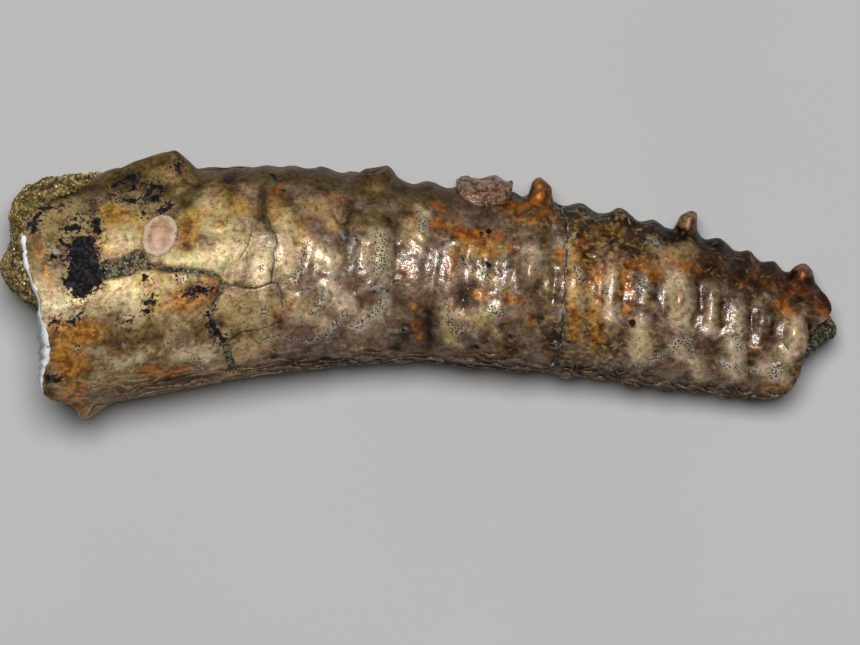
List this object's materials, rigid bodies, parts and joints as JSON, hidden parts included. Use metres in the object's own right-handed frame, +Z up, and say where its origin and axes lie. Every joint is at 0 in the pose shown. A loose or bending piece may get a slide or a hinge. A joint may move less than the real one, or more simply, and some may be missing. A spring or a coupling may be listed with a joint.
{
  "type": "fossil ammonite shell fragment",
  "caption": "Straight-coiled ammonite fossil: a tapering ribbed nacreous shell with spine stumps, filled with sandy rock, lying on one flank.",
  "frame": {"origin": "middle of the bounding box, on the surface that the fossil lies on", "axes": "+X from the wide mouth to the narrow tip, +Y to the spiny outer side, +Z up to the flank that the picture shows"},
  "size_m": [0.0914, 0.0298, 0.0213],
  "materials": {
    "nacre": "gloss",
    "sandy_rock": "matte",
    "flake": "satin"
  },
  "bodies": {
    "root": {"wide_shell": "nacre", "narrow_shell": "nacre", "wide_rock": "sandy_rock", "narrow_rock": "sandy_rock", "stuck_shell_flake": "flake"}
  },
  "joints": []
}
